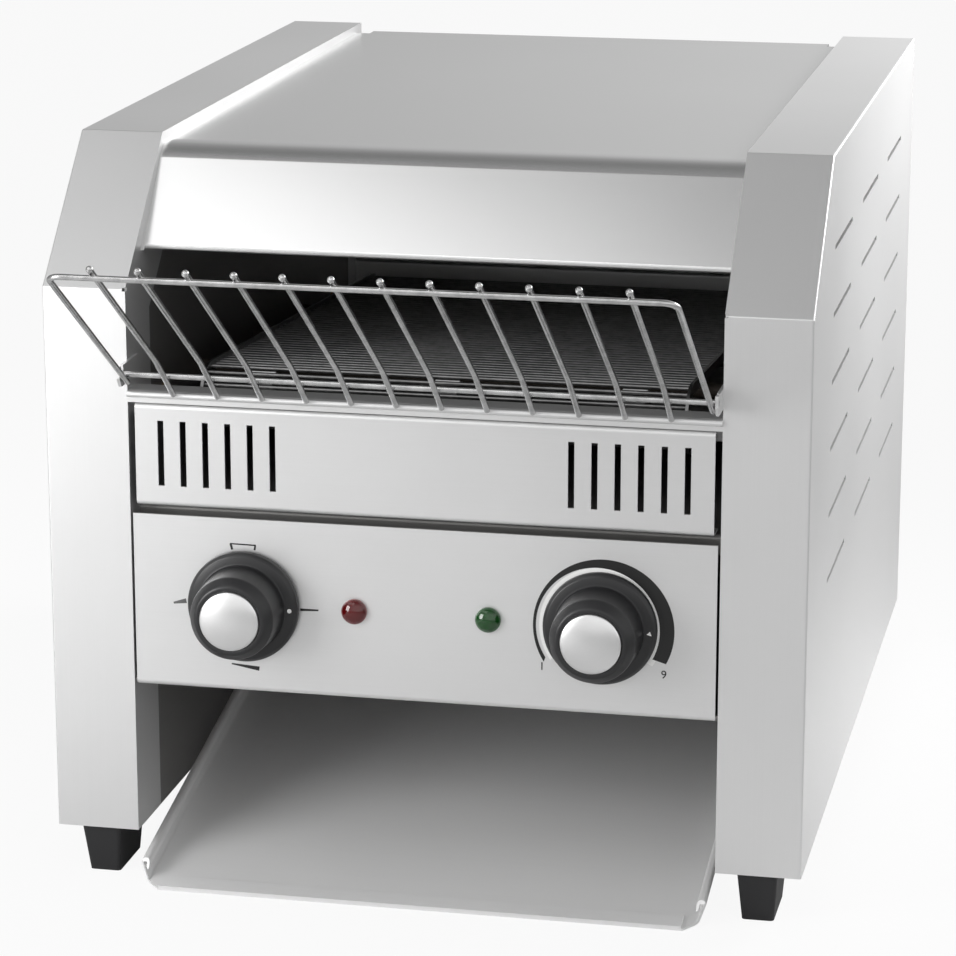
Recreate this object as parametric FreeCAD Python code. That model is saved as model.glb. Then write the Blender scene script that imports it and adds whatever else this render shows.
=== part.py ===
import FreeCAD, Part
import math
import os

# Conveyor toaster, millimetres. X runs to the right, Y to the back and Z up.
# Y = 0 is the front face of the side housings until place() moves the origin to the
# middle of the whole toaster's footprint. Z = 0 is the counter top.

Vector = FreeCAD.Vector

# Driving dimensions of the body
body_width = 368.0
body_depth = 474.0
body_top = 360.5
foot_height = 25.0
housing_width = 41.1
sheet = 1.2
bend_radius = 1.2
housing_bend_height = 295.8
housing_slant_depth = 66.8
housing_return = 38.0
housing_edge_radius = 1.0
seam_notch = 1.6

# Louvre slits in the outer walls
louvre_columns = 3
louvre_rows = 6
louvre_length = 75.0
louvre_height = 2.5
louvre_first_y = 80.5
louvre_back_space = 68.5
louvre_drop = 46.5
louvre_row_pitch = 33.0

# Top cover and hood
cover_drop = 4.5
hood_edge_y = 28.0
hood_edge_drop = 51.0
hood_angle = 51.0
hood_bend_radius = 18.0
hood_lip = 10.0
cover_flange = 14.0
cover_notch_width = 8.0
cover_notch_depth = 12.0

# Front: cross bar, vent panel and control panel
lip_height = 247.2
bar_face_bottom = 241.5
bar_depth = 16.0
bar_back_drop = 14.0
lip_radius = 1.6
lip_reach = 2.0
panel_clearance = 0.3
vent_side_gap = 3.3
vent_bottom = 190.8
vent_slot_width = 3.0
vent_slot_bottom = 201.0
vent_slot_top = 233.0
vent_slot_pitch = 11.0
vent_slot_count = 6
vent_slot_from_wall = 70.9
panel_side_gap = 1.3
panel_top = 186.7
panel_bottom = 100.5
panel_return = 12.0

# Knobs and lamps
knob_from_wall = 56.1
knob_z = 144.0
knob_gap = 0.8
skirt_radius = 27.2
skirt_depth = 5.0
skirt_bevel = 1.6
grip_radius = 21.0
grip_front_radius = 20.4
grip_depth = 22.2
nose_radius = 17.0
nose_depth = 4.0
cap_radius = 14.5
cap_edge = 1.0
cap_dome = 2.2
spindle_radius = 3.0
spindle_length = 34.0
spindle_in_knob = 16.0
running_clearance = 0.05
control_bush_radius = 4.5
control_gap = 0.1
switch_size = 30.0
switch_depth = 24.0
speed_control_radius = 14.0
speed_control_depth = 20.0
lamp_from_knob = 54.2
lamp_z = 144.2
lamp_radius = 6.25
lamp_rim = 1.6
lamp_dome = 3.4
lamp_body_radius = 4.8
lamp_body_depth = 20.0
lamp_nut_radius = 7.0
lamp_nut_depth = 3.0

# Wire belt
belt_side_gap = 22.9
belt_pitch = 7.5
belt_back_space = 75.0
belt_rod_radius = 1.1
belt_slope = 4.0
front_shaft_y = 60.0
front_shaft_z = 232.0
link_height = 5.2
link_thickness = 1.5
wheel_teeth = 12
wheel_thickness = 12.0
wheel_inset = 28.0
scallop_radius = 3.0
wheel_clearance = 0.3
shaft_radius = 4.0
shaft_overhang = 4.0
motor_shaft_reach = 14.0
bush_radius = 6.0
bush_flange_radius = 9.0
bush_flange = 2.0
bush_inside = 1.5

# Gear motor in the right housing
gearbox_radius = 24.0
gearbox_depth = 18.0
motor_can_radius = 19.0
motor_can_depth = 12.0
motor_standoff = 6.0
motor_pillar_radius = 3.0
motor_pillar_circle = 18.0
motor_pillars = 3

# Heating tubes and reflectors
upper_tube_radius = 5.0
upper_tube_count = 4
upper_tube_first_y = 110.0
upper_tube_back_space = 112.0
upper_tube_drop = 44.5
lower_tube_radius = 4.0
lower_tube_count = 3
lower_tube_first = 66.0
lower_tube_end_space = 67.5
lower_tube_lift = 3.0
tube_hole_gap = 0.3
heater_end_length = 12.0
heater_end_extra = 2.0
reflector_gap = 8.0
reflector_drop = 20.0
reflector_reach = 28.0
reflector_lean = 16.0
trough_depth = 7.0
trough_crest = 3.0
trough_reach = 36.0

# Decks, chute and tray
deck_back_space = 174.0
deck_slope_run = 85.0
deck_flange = 10.0
upper_deck_front = 15.0
tray_slope = 11.3
tray_front_y = -14.0
tray_length = 248.0
tray_side_gap = 6.4
tray_flange_height = 11.0
tray_flange_flare = 4.1
tray_roll_width = 5.2
tray_roll_drop = 3.5
tray_roll_inside = 0.6
tray_flange_end = 16.0
tray_hem_width = 10.5
tray_hem_inset = 7.5
tray_corner = 8.0
chute_overlap = 8.0
chute_gap = 1.2
chute_back_gap = 20.0
chute_radius = 75.0
chute_top = 222.0
support_depth = 14.0
support_height = 16.0

# Feed rack
wire_radius = 1.4
rod_count = 12
rod_side_gap = 20.15
rod_tip_y = -125.5
rod_tip_z = 332.1
rod_knee_y = -30.0
rod_knee_z = 269.5
rod_toe_y = -2.4
rod_toe_z = 246.3
rod_knee_radius = 60.0
rod_tip_chamfer = 0.7
rod_past_wire = 4.5
rack_side_gap = 3.4
rack_corner_radius = 6.0
rack_leg_end = 4.0
pivot_y = -12.0
hook_thickness = 1.5
hook_clearance = 0.1
hook_back = 14.0
hook_front = 4.5
hook_drop = 6.0
hook_rise = 4.0
hook_end_gap = 0.3

# Cooling fan on the left inner plate
fan_size = 80.0
fan_depth = 25.0
fan_bore_radius = 37.0
fan_y = 110.0
fan_tip_gap = 1.5
fan_hub_radius = 16.0
fan_hub_plate = 3.0
fan_hub_gap = 0.3
fan_hub_length = 16.0
fan_pin_radius = 2.0
fan_strut_width = 4.0
fan_blades = 7
fan_blade_thickness = 1.2
fan_root_angle = 50.0
fan_tip_angle = 68.0
fan_hole_radius = 2.2

# Back panel, gland, terminal block, base rails and feet
back_panel_bottom = 40.0
back_vent_count = 14
back_vent_side_space = 51.9
back_vent_width = 3.0
back_vent_length = 30.0
back_vent_drop = 70.5
gland_from_side = 72.0
gland_z = 66.0
gland_radius = 9.0
gland_hex = 12.0
gland_flange = 5.0
gland_length = 16.0
gland_bore = 4.5
gland_neck = 7.0
gland_nut = 4.0
terminal_length = 60.0
terminal_depth = 20.0
terminal_height = 16.0
terminal_ways = 6
rail_flange = 12.0
foot_top_width = 19.5
foot_top_length = 43.0
foot_bottom_width = 15.5
foot_bottom_length = 35.0
foot_front_y = 1.5
foot_front_taper = 5.5
foot_corner = 2.0
foot_from_side = 21.2

# Lengths that only help the modelling: how far a cut runs past a face, and how near
# an edge has to lie to a place to be taken as being there
overshoot = 1.0
near = 0.1

# Values worked out from the driving dimensions
half_width = body_width / 2
inner_half = half_width - housing_width
cover_top = body_top - cover_drop
hood_edge_z = body_top - hood_edge_drop
louvre_top_z = body_top - louvre_drop
upper_tube_z = body_top - upper_tube_drop
back_vent_z = body_top - back_vent_drop
louvre_column_pitch = (body_depth - louvre_first_y - louvre_length - louvre_back_space) / (
    louvre_columns - 1)
vent_slot_first_x = inner_half - vent_slot_from_wall
knob_x = inner_half - knob_from_wall
lamp_x = knob_x - lamp_from_knob
rise = math.tan(math.radians(tray_slope))
belt_width = 2 * (inner_half - belt_side_gap)
wheel_spacing = belt_width / 2 - wheel_inset
belt_level_pitch = belt_pitch * math.cos(math.radians(belt_slope))
belt_run_pitches = int((body_depth - front_shaft_y - belt_back_space) / belt_level_pitch)
belt_run = belt_pitch * belt_run_pitches
pitch_radius = belt_pitch / (2 * math.sin(math.pi / wheel_teeth))
wheel_radius = pitch_radius - belt_rod_radius - wheel_clearance
upper_tube_pitch = (body_depth - upper_tube_first_y - upper_tube_back_space) / (upper_tube_count - 1)
lower_tube_pitch = (belt_run - lower_tube_first - lower_tube_end_space) / (lower_tube_count - 1)
deck_back_depth = body_depth - deck_back_space
deck_floor_depth = deck_back_depth - deck_slope_run
tray_half_width = inner_half - tray_side_gap
tray_hem_half = tray_half_width - tray_hem_inset
rack_half_width = inner_half - rack_side_gap
rod_pitch = 2 * (rack_half_width - rod_side_gap) / (rod_count - 1)
back_vent_pitch = 2 * (inner_half - back_vent_side_space) / (back_vent_count - 1)
gland_x = half_width - gland_from_side
foot_x = half_width - foot_from_side
rear_shaft_y = front_shaft_y + belt_run * math.cos(math.radians(belt_slope))
rear_shaft_z = front_shaft_z - belt_run * math.sin(math.radians(belt_slope))
rod_lean = math.atan2(rod_tip_z - rod_knee_z, rod_knee_y - rod_tip_y)
rack_front = rod_tip_y - (wire_radius - rod_tip_chamfer) * math.sin(rod_lean)
gland_back = body_depth + gland_length
origin_y = (rack_front + gland_back) / 2


def rounded_edges(points, radii):
    """Edges through the points, with an arc of the given radius at each inner point."""
    edges = []
    start = points[0]
    for before, corner, after, radius in zip(points, points[1:], points[2:], radii):
        to_before = (before - corner).normalize()
        to_after = (after - corner).normalize()
        half = to_before.getAngle(to_after) / 2
        first = corner + to_before * (radius / math.tan(half))
        last = corner + to_after * (radius / math.tan(half))
        middle = corner + (to_before + to_after).normalize() * (radius / math.sin(half) - radius)
        edges.append(Part.makeLine(start, first))
        edges.append(Part.Arc(first, middle, last).toShape())
        start = last
    edges.append(Part.makeLine(start, points[-1]))
    return edges


def left_normals(points):
    """Unit normals on the left of each leg of a flat path."""
    legs = [(end - start).normalize() for start, end in zip(points, points[1:])]
    return [Vector(-leg.y, leg.x, 0) for leg in legs]


def offset_path(points, distance):
    """The flat path moved to its left by the distance, with its corners kept sharp."""
    normals = left_normals(points)
    moved = [points[0] + normals[0] * distance]
    for corner, first, second in zip(points[1:], normals, normals[1:]):
        moved.append(corner + (first + second) * (distance / (1 + first.dot(second))))
    moved.append(points[-1] + normals[-1] * distance)
    return moved


def strip_face(pairs, thickness, inside_radii):
    """Face of a bent strip whose metal lies on the left of the path."""
    points = [Vector(a, b, 0) for a, b in pairs]
    moved = offset_path(points, thickness)
    normals = left_normals(points)
    near_radii = []
    far_radii = []
    for first, second, radius in zip(normals, normals[1:], inside_radii):
        turns_left = first.cross(second).z > 0
        near_radii.append(radius + thickness if turns_left else radius)
        far_radii.append(radius if turns_left else radius + thickness)
    edges = rounded_edges(points, near_radii)
    edges.append(Part.makeLine(points[-1], moved[-1]))
    edges += rounded_edges(moved[::-1], far_radii[::-1])
    edges.append(Part.makeLine(moved[0], points[0]))
    return Part.Face(Part.Wire(Part.__sortEdges__(edges)))


def outline_face(pairs):
    """Face inside a closed outline with straight sides."""
    points = [Vector(a, b, 0) for a, b in pairs]
    return Part.Face(Part.makePolygon(points + points[:1]))


def placed(shape, matrix):
    """Move a shape by a matrix that only turns and shifts."""
    moved = shape.copy()
    moved.Placement = FreeCAD.Placement(matrix).multiply(moved.Placement)
    return moved


def across(face, x_from, x_to):
    """Extrude a flat face drawn in (Y, Z) from one X to another."""
    solid = face.extrude(Vector(0, 0, x_to - x_from))
    turn = FreeCAD.Matrix(0, 0, 1, x_from, 1, 0, 0, 0, 0, 1, 0, 0, 0, 0, 0, 1)
    return placed(solid, turn)


def upright(face, z_from, z_to):
    """Extrude a flat face drawn in (X, Y) from one Z to another."""
    solid = face.extrude(Vector(0, 0, z_to - z_from))
    solid.translate(Vector(0, 0, z_from))
    return solid


def lengthwise(face, y_from, y_to):
    """Extrude a flat face drawn in (X, Z) from one Y to another."""
    solid = face.extrude(Vector(0, 0, y_to - y_from))
    turn = FreeCAD.Matrix(1, 0, 0, 0, 0, 0, -1, y_to, 0, 1, 0, 0, 0, 0, 0, 1)
    return placed(solid, turn)


def block(x_from, x_to, y_from, y_to, z_from, z_to):
    """Box between two corners."""
    return Part.makeBox(x_to - x_from, y_to - y_from, z_to - z_from, Vector(x_from, y_from, z_from))


def rod_x(radius, x_from, x_to, y, z):
    """Cylinder along X."""
    return Part.makeCylinder(radius, x_to - x_from, Vector(x_from, y, z), Vector(1, 0, 0))


def rod_y(radius, y_from, y_to, x, z):
    """Cylinder along Y."""
    return Part.makeCylinder(radius, y_to - y_from, Vector(x, y_from, z), Vector(0, 1, 0))


def mirrored(shape):
    """The same piece on the other side of the toaster."""
    return shape.mirror(Vector(0, 0, 0), Vector(1, 0, 0))


def fused(first, others):
    """One solid out of touching ones."""
    return first.fuse(others).removeSplitter()


def edges_where(shape, test):
    """Edges whose two ends both pass the test."""
    chosen = []
    for edge in shape.Edges:
        if all(test(vertex.Point) for vertex in edge.Vertexes):
            chosen.append(edge)
    return chosen


def wire_along(points, radii, radius):
    """Round wire swept along a path with rounded corners."""
    path = Part.Wire(rounded_edges(points, radii))
    heading = (points[1] - points[0]).normalize()
    section = Part.Wire(Part.Circle(points[0], heading, radius).toShape())
    return path.makePipeShell([section], True, False)


def turned(pairs, x, z):
    """Solid of revolution about the Y axis from an outline in (radius, Y), moved to its place."""
    solid = outline_face(pairs).revolve(Vector(0, 0, 0), Vector(0, 1, 0), 360)
    solid.translate(Vector(x, 0, z))
    return solid


def domed(radius, y_back, y_edge, y_crown, x, z):
    """Disc with a domed front, turned about the Y axis."""
    edge = Vector(radius, y_edge, 0)
    crown = Vector(0, y_crown, 0)
    sag = y_edge - y_crown
    ball = (radius * radius + sag * sag) / (2 * sag)
    lean = math.asin(radius / ball) / 2
    middle = Vector(ball * math.sin(lean), y_crown + ball - ball * math.cos(lean), 0)
    edges = [
        Part.makeLine(Vector(0, y_back, 0), Vector(radius, y_back, 0)),
        Part.makeLine(Vector(radius, y_back, 0), edge),
        Part.Arc(edge, middle, crown).toShape(),
        Part.makeLine(crown, Vector(0, y_back, 0)),
    ]
    solid = Part.Face(Part.Wire(edges)).revolve(Vector(0, 0, 0), Vector(0, 1, 0), 360)
    solid.translate(Vector(x, 0, z))
    return solid


# Side housings and the structure between them
def housing_outline(inset, floor):
    """Side outline of a housing, drawn in by the inset: front, slant, top and back."""
    lean = math.atan2(body_top - housing_bend_height, housing_slant_depth)
    sine = math.sin(lean)
    cosine = math.cos(lean)
    top = body_top - inset
    knee_z = housing_bend_height + (inset * sine - inset) / cosine
    crown_y = ((top - housing_bend_height) * cosine + inset) / sine
    back = body_depth - inset
    return [(inset, floor), (inset, knee_z), (crown_y, top), (back, top), (back, floor)]


def left_housing():
    """Folded sheet: outer wall, front, slant, top and back, with a return inside each."""
    below = foot_height - sheet
    body = across(outline_face(housing_outline(0, foot_height)), -half_width, -inner_half)
    outer_edges = edges_where(body, lambda p: p.x < -half_width + near)
    folds = [e for e in body.Edges if abs(e.BoundBox.XLength - housing_width) < near]
    sharp = [e for e in outer_edges + folds if e.BoundBox.ZMax > foot_height + near]
    body = body.makeFillet(housing_edge_radius, sharp)
    hollow = outline_face(housing_outline(sheet, below))
    window = outline_face(housing_outline(housing_return, below))
    cuts = [
        across(hollow, -half_width + sheet, -inner_half - sheet),
        across(window, -inner_half - 2 * sheet, -inner_half + sheet),
    ]
    for column in range(louvre_columns):
        for row in range(louvre_rows):
            y = louvre_first_y + column * louvre_column_pitch
            z = louvre_top_z - row * louvre_row_pitch - louvre_height / 2
            cuts.append(block(-half_width - sheet, -half_width + 2 * sheet, y, y + louvre_length,
                              z, z + louvre_height))
    notch_z = housing_bend_height - seam_notch / 2
    cuts.append(block(-inner_half - seam_notch, -inner_half + sheet, -sheet, sheet + seam_notch,
                      notch_z, notch_z + seam_notch))
    return body.cut(cuts)


def left_inner_plate():
    """Plate that fills the housing's inner window and carries shafts and tubes."""
    plate = across(outline_face(housing_outline(housing_return, foot_height)),
                   -inner_half - sheet, -inner_half)
    holes = [rod_x(bush_radius, -inner_half - 2 * sheet, -inner_half + sheet, y, z)
             for y, z in shaft_places()]
    for radius, y, z in tube_places():
        holes.append(rod_x(radius + tube_hole_gap, -inner_half - 2 * sheet, -inner_half + sheet, y, z))
    return plate.cut(holes)


def left_fan_plate():
    """The left inner plate also has the fan's air hole."""
    hole = rod_x(fan_bore_radius, -inner_half - 2 * sheet, -inner_half + sheet, fan_y, fan_z())
    return left_inner_plate().cut(hole)


def left_base_rail():
    """Channel under the housing that the feet are fixed to."""
    outside = -half_width + sheet
    inside = -inner_half - sheet
    top = foot_height + rail_flange
    path = [(outside, top), (outside, foot_height), (inside, foot_height), (inside, top)]
    return lengthwise(strip_face(path, sheet, [bend_radius] * 2), sheet, body_depth - sheet)


def top_cover():
    """Cover and hood in one bent sheet, with a flange down each side and a hemmed front edge."""
    corner = (hood_edge_y + (cover_top - hood_edge_z) / math.tan(math.radians(hood_angle)), cover_top)
    edge = (hood_edge_y, hood_edge_z)
    back = (body_depth, cover_top)
    path = [(body_depth, cover_top - cover_flange), back, corner, edge,
            (hood_edge_y + hood_lip, hood_edge_z)]
    radii = [bend_radius, hood_bend_radius - sheet, bend_radius / 2]
    skin = across(strip_face(path, sheet, radii), -inner_half, inner_half)
    side = strip_face([back, corner, edge], cover_flange, [hood_bend_radius - cover_flange])
    flange = across(side, -inner_half, -inner_half + sheet)
    flange = flange.cut(block(-half_width, 0, 0, body_depth, 0, hood_edge_z))
    cover = fused(skin, [flange, mirrored(flange)])
    notch = block(-inner_half - sheet, -inner_half + cover_notch_width, body_depth - cover_notch_depth,
                  body_depth + sheet, cover_top - 2 * sheet, cover_top + sheet)
    return cover.cut([notch, mirrored(notch)])


def back_panel():
    """Back sheet with a row of vents and the hole for the cord gland."""
    front = body_depth - cover_flange
    path = [(inner_half, front), (inner_half, body_depth), (-inner_half, body_depth), (-inner_half, front)]
    panel = upright(strip_face(path, sheet, [bend_radius] * 2), back_panel_bottom,
                    cover_top - cover_flange)
    cuts = [rod_y(gland_neck, body_depth - 2 * sheet, body_depth + sheet, gland_x, gland_z)]
    for place in range(back_vent_count):
        x = (place - (back_vent_count - 1) / 2) * back_vent_pitch - back_vent_width / 2
        cuts.append(block(x, x + back_vent_width, body_depth - 2 * sheet, body_depth + sheet,
                          back_vent_z, back_vent_z + back_vent_length))
    return panel.cut(cuts)


def front_cross_bar():
    """Bar under the bread entry with a rounded lip along its top."""
    path = [(bar_depth, lip_height - bar_back_drop), (bar_depth, lip_height), (0, lip_height),
            (0, bar_face_bottom)]
    bar = across(strip_face(path, sheet, [bend_radius] * 2), -inner_half, inner_half)
    lip = rod_x(lip_radius, -inner_half, inner_half, lip_radius - lip_reach, lip_height - lip_radius)
    return fused(bar, [lip])


def vent_panel():
    """Narrow front panel with two groups of upright slots."""
    half = inner_half - vent_side_gap
    top = bar_face_bottom - panel_clearance
    path = [(bar_depth - sheet, top), (0, top), (0, vent_bottom), (panel_return, vent_bottom)]
    panel = across(strip_face(path, sheet, [bend_radius] * 2), -half, half)
    slots = []
    for side in (-1, 1):
        for place in range(vent_slot_count):
            x = side * (vent_slot_first_x + place * vent_slot_pitch) - vent_slot_width / 2
            slots.append(block(x, x + vent_slot_width, -sheet, 2 * sheet,
                               vent_slot_bottom, vent_slot_top))
    return panel.cut(slots)


def control_panel():
    """Front panel with holes for the two controls and the two lamps."""
    half = inner_half - panel_side_gap
    path = [(0, panel_top), (0, panel_bottom), (panel_return, panel_bottom)]
    panel = across(strip_face(path, sheet, [bend_radius]), -half, half)
    holes = [rod_y(control_bush_radius + control_gap, -sheet, 2 * sheet, x, knob_z)
             for x in (-knob_x, knob_x)]
    holes += [rod_y(lamp_body_radius + control_gap, -sheet, 2 * sheet, x, lamp_z)
              for x in (-lamp_x, lamp_x)]
    return panel.cut(holes)


def lower_deck():
    """Floor and sloping back of the electrical compartment."""
    floor = panel_bottom + sheet
    top = panel_top - sheet
    path = [(sheet + bend_radius, floor), (deck_floor_depth, floor), (deck_back_depth, top),
            (deck_back_depth + deck_flange, top)]
    return across(strip_face(path, sheet, [bend_radius] * 2), -inner_half, inner_half)


def upper_deck():
    """Roof of the electrical compartment, under the belt."""
    top = panel_top + sheet
    path = [(deck_back_depth + deck_flange, top), (upper_deck_front, top),
            (upper_deck_front, top - deck_flange)]
    return across(strip_face(path, sheet, [bend_radius]), -inner_half, inner_half)


# Toast path: chute, tray and its support
def tray_underside(y):
    """Height of the tray's underside at a place along the body."""
    return (y - tray_front_y) * rise


def tray_rear_y():
    """Where the tray ends under the chute."""
    return tray_front_y + tray_length * math.cos(math.radians(tray_slope))


def return_chute():
    """Curved sheet that turns the toast from the end of the belt to the front."""
    lift = (2 * sheet + chute_gap) / math.cos(math.radians(tray_slope))
    back = body_depth - chute_back_gap
    front = tray_rear_y() - chute_overlap
    path = [(body_depth - sheet, chute_top), (back, chute_top), (back, tray_underside(back) + lift),
            (front, tray_underside(front) + lift)]
    chute = across(strip_face(path, sheet, [bend_radius, chute_radius]), -inner_half, inner_half)
    corner = block(-half_width, -inner_half + 2 * sheet, body_depth - cover_flange - sheet, body_depth,
                   chute_top - 2 * sheet, chute_top + sheet)
    return chute.cut([corner, mirrored(corner)])


def tray_support():
    """Angle across the body that the back of the tray lies on."""
    back = tray_rear_y() - chute_gap
    front = back - support_depth
    path = [(back, tray_underside(back)), (front, tray_underside(front)),
            (front, tray_underside(front) - support_height)]
    return across(strip_face(path, sheet, [bend_radius]), -inner_half, inner_half)


def toast_tray():
    """Sloping tray with rolled side flanges and a front hem folded onto the plate."""
    flange_x = tray_half_width + tray_flange_flare
    roll_x = flange_x - tray_roll_width
    roll_z = tray_flange_height - tray_roll_drop
    half = [(tray_half_width, 0), (flange_x, tray_flange_height), (roll_x, tray_flange_height),
            (roll_x, roll_z)]
    path = [(-x, z) for x, z in reversed(half)] + half
    rolls = [tray_roll_inside] * 2
    tray = lengthwise(strip_face(path, sheet, rolls + [bend_radius] * 2 + rolls), 0, tray_length)
    hem = block(-tray_hem_half, tray_hem_half, 0, tray_hem_width, sheet, 2 * sheet)
    hem = hem.makeFillet(sheet / 2, edges_where(hem, lambda p: p.y > sheet and p.z > sheet + near))
    flange_front = across(outline_face([(-sheet, 2 * sheet), (-sheet, 2 * tray_flange_height),
                                        (tray_flange_height, 2 * tray_flange_height),
                                        (tray_flange_height, tray_flange_height)]),
                          -half_width, half_width)
    corner = upright(outline_face([(half_width, -sheet), (tray_half_width - tray_corner, -sheet),
                                   (half_width, half_width - tray_half_width + tray_corner)]),
                     -sheet, tray_flange_height)
    flange_end = tray_length - tray_flange_end
    rear = [block(side - half_width / 2, side + half_width / 2, flange_end, tray_length + sheet,
                  sheet, 2 * tray_flange_height) for side in (-half_width / 2, half_width / 2)]
    tray = tray.cut([flange_front, corner, mirrored(corner)] + rear)
    tray = fused(tray, [hem])
    tray.rotate(Vector(0, 0, 0), Vector(1, 0, 0), tray_slope)
    tray.translate(Vector(0, tray_front_y, 0))
    return tray


# Wire belt, its wheels, shafts and motor
def shaft_places():
    """(Y, Z) of the drive shaft and of the idler shaft."""
    return [(front_shaft_y, front_shaft_z), (rear_shaft_y, rear_shaft_z)]


def belt_place(along, up):
    """(Y, Z) at a distance along the belt's run from the front shaft, and above its middle."""
    slope = math.radians(belt_slope)
    y = front_shaft_y + along * math.cos(slope) + up * math.sin(slope)
    z = front_shaft_z - along * math.sin(slope) + up * math.cos(slope)
    return y, z


def belt_wires():
    """Cross wires at an even pitch round both shafts."""
    half = belt_width / 2 - link_thickness
    places = []
    for step in range(belt_run_pitches + 1):
        places.append(belt_place(step * belt_pitch, pitch_radius))
        places.append(belt_place(step * belt_pitch, -pitch_radius))
    for step in range(1, wheel_teeth // 2):
        angle = 2 * math.pi * step / wheel_teeth
        sine = pitch_radius * math.sin(angle)
        cosine = pitch_radius * math.cos(angle)
        places.append(belt_place(belt_run + sine, cosine))
        places.append(belt_place(-sine, cosine))
    return Part.makeCompound([rod_x(belt_rod_radius, -half, half, y, z) for y, z in places])


def belt_loop_face(radius):
    """Face inside the belt's loop at a distance from both shafts."""
    def at(along, up):
        y, z = belt_place(along, up)
        return Vector(y, z, 0)

    edges = [
        Part.makeLine(at(0, radius), at(belt_run, radius)),
        Part.Arc(at(belt_run, radius), at(belt_run + radius, 0), at(belt_run, -radius)).toShape(),
        Part.makeLine(at(belt_run, -radius), at(0, -radius)),
        Part.Arc(at(0, -radius), at(-radius, 0), at(0, radius)).toShape(),
    ]
    return Part.Face(Part.Wire(edges))


def belt_side_links():
    """Side band at each end of the cross wires."""
    ring = belt_loop_face(pitch_radius + link_height / 2).cut(
        belt_loop_face(pitch_radius - link_height / 2))
    band = across(ring.Faces[0], -belt_width / 2, -belt_width / 2 + link_thickness)
    return Part.makeCompound([band, mirrored(band)])


def disc_face(first, second, radius):
    """Flat round face about a place in the drawing plane."""
    return Part.Face(Part.Wire(Part.Circle(Vector(first, second, 0), Vector(0, 0, 1), radius).toShape()))


def belt_wheels(along):
    """Three wheels on one shaft. The crests of their scalloped rims carry the wires."""
    y, z = belt_place(along, 0)
    cuts = [disc_face(y, z, shaft_radius)]
    for tooth in range(wheel_teeth):
        angle = 2 * math.pi * (tooth + 0.5) / wheel_teeth
        scallop_y, scallop_z = belt_place(along + pitch_radius * math.sin(angle),
                                          pitch_radius * math.cos(angle))
        cuts.append(disc_face(scallop_y, scallop_z, scallop_radius))
    wheel = disc_face(y, z, wheel_radius).cut(cuts).Faces[0]
    solids = []
    for x in (-wheel_spacing, 0, wheel_spacing):
        solids.append(across(wheel, x - wheel_thickness / 2, x + wheel_thickness / 2))
    return Part.makeCompound(solids)


def drive_shaft():
    """Front shaft, long enough on the right to reach into the gearbox."""
    left = inner_half + sheet + bush_flange + shaft_overhang
    right = inner_half + sheet + motor_standoff + motor_shaft_reach
    return rod_x(shaft_radius, -left, right, front_shaft_y, front_shaft_z)


def idler_shaft():
    """Rear shaft that the belt turns."""
    reach = inner_half + sheet + bush_flange + shaft_overhang
    return rod_x(shaft_radius, -reach, reach, rear_shaft_y, rear_shaft_z)


def shaft_bushes():
    """Flanged bush in each inner plate for each shaft."""
    bushes = []
    for y, z in shaft_places():
        wall = inner_half + sheet
        sleeve = rod_x(bush_radius, inner_half - bush_inside, wall, y, z)
        flange = rod_x(bush_flange_radius, wall, wall + bush_flange, y, z)
        bore = rod_x(shaft_radius + running_clearance, inner_half - 2 * bush_inside,
                     wall + 2 * bush_flange, y, z)
        bush = fused(sleeve, [flange]).cut(bore)
        bushes += [bush, mirrored(bush)]
    return Part.makeCompound(bushes)


def gear_motor():
    """Gearbox on three pillars on the right inner plate, with the motor's can behind it."""
    wall = inner_half + sheet
    face = wall + motor_standoff
    box = rod_x(gearbox_radius, face, face + gearbox_depth, front_shaft_y, front_shaft_z)
    rim = [e for e in box.Edges if e.BoundBox.XLength < near and e.BoundBox.XMin > face + near]
    box = box.makeFillet(2 * sheet, rim)
    bore = rod_x(shaft_radius + running_clearance, face - sheet, face + motor_shaft_reach + sheet,
                 front_shaft_y, front_shaft_z)
    pillars = []
    for place in range(motor_pillars):
        angle = 2 * math.pi * place / motor_pillars + math.pi / 2
        y = front_shaft_y + motor_pillar_circle * math.cos(angle)
        z = front_shaft_z + motor_pillar_circle * math.sin(angle)
        pillars.append(rod_x(motor_pillar_radius, wall, face, y, z))
    return fused(box, pillars).cut(bore)


def motor_can():
    """Can of the motor, on the outer face of the gearbox."""
    face = inner_half + sheet + motor_standoff + gearbox_depth
    can = rod_x(motor_can_radius, face, face + motor_can_depth, front_shaft_y, front_shaft_z)
    rim = [e for e in can.Edges if e.BoundBox.XLength < near and e.BoundBox.XMin > face + near]
    return can.makeFillet(2 * sheet, rim)


# Heating tubes and reflectors
def upper_tube_places():
    """(Y, Z) of each tube above the bread."""
    return [(upper_tube_first_y + place * upper_tube_pitch, upper_tube_z)
            for place in range(upper_tube_count)]


def lower_tube_places():
    """(Y, Z) of each tube between the belt's two runs."""
    return [belt_place(lower_tube_first + place * lower_tube_pitch, lower_tube_lift)
            for place in range(lower_tube_count)]


def tube_places():
    """Radius, Y and Z of every heating tube."""
    upper = [(upper_tube_radius, y, z) for y, z in upper_tube_places()]
    lower = [(lower_tube_radius, y, z) for y, z in lower_tube_places()]
    return upper + lower


def heating_tubes(radius, places):
    """Straight tubes from one inner plate to the other."""
    reach = inner_half + sheet
    return Part.makeCompound([rod_x(radius, -reach, reach, y, z) for y, z in places])


def heater_ends():
    """Ceramic end on each tube, against the outside of the inner plates."""
    start = inner_half + sheet
    ends = []
    for radius, y, z in tube_places():
        end = rod_x(radius + heater_end_extra, start, start + heater_end_length, y, z)
        ends += [end, mirrored(end)]
    return Part.makeCompound(ends)


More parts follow.
